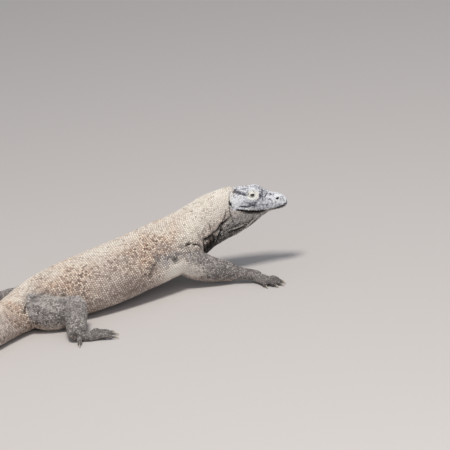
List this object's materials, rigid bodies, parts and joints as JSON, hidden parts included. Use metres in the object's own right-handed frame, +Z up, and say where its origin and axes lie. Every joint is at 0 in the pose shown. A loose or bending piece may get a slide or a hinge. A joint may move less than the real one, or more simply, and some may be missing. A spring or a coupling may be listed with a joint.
{
  "type": "komodo dragon",
  "caption": "Life-size still model of a komodo dragon resting on its belly, chest and head raised, neck turned to its right, forelegs stretched forward and tail laid in a curve.",
  "frame": {"origin": "on the floor, at the middle of the bottom face of the whole animal's bounding box", "axes": "+X runs from the tail towards the head along the trunk, +Z is up, and the animal's right side is -Y"},
  "size_m": [2.1366, 0.7142, 0.3031],
  "materials": {
    "head_skin": "satin, fine plates",
    "body_skin": "dry, beaded scales",
    "limb_skin": "dry, beaded scales",
    "claw": "worn horn",
    "eye": "wet gloss"
  },
  "bodies": {
    "root": {"head": "head_skin", "lower_jaw": "head_skin", "throat": "head_skin", "right_eye": "eye", "left_eye": "eye", "neck": "body_skin", "trunk": "body_skin", "tail_base": "body_skin", "tail_middle": "body_skin", "tail_rear": "body_skin", "tail_tip": "body_skin", "right_upper_arm": "limb_skin", "right_forearm": "limb_skin", "right_hand": "limb_skin", "right_thigh": "limb_skin", "right_shank": "limb_skin", "right_foot": "limb_skin", "left_upper_arm": "limb_skin", "left_forearm": "limb_skin", "left_hand": "limb_skin", "left_thigh": "limb_skin", "left_shank": "limb_skin", "left_foot": "limb_skin", "right_hand_claw_1": "claw", "right_hand_claw_2": "claw", "right_hand_claw_3": "claw", "right_hand_claw_4": "claw", "right_hand_claw_5": "claw", "right_foot_claw_1": "claw", "right_foot_claw_2": "claw", "right_foot_claw_3": "claw", "right_foot_claw_4": "claw", "right_foot_claw_5": "claw", "left_hand_claw_1": "claw", "left_hand_claw_2": "claw", "left_hand_claw_3": "claw", "left_hand_claw_4": "claw", "left_hand_claw_5": "claw", "left_foot_claw_1": "claw", "left_foot_claw_2": "claw", "left_foot_claw_3": "claw", "left_foot_claw_4": "claw", "left_foot_claw_5": "claw"}
  },
  "joints": []
}
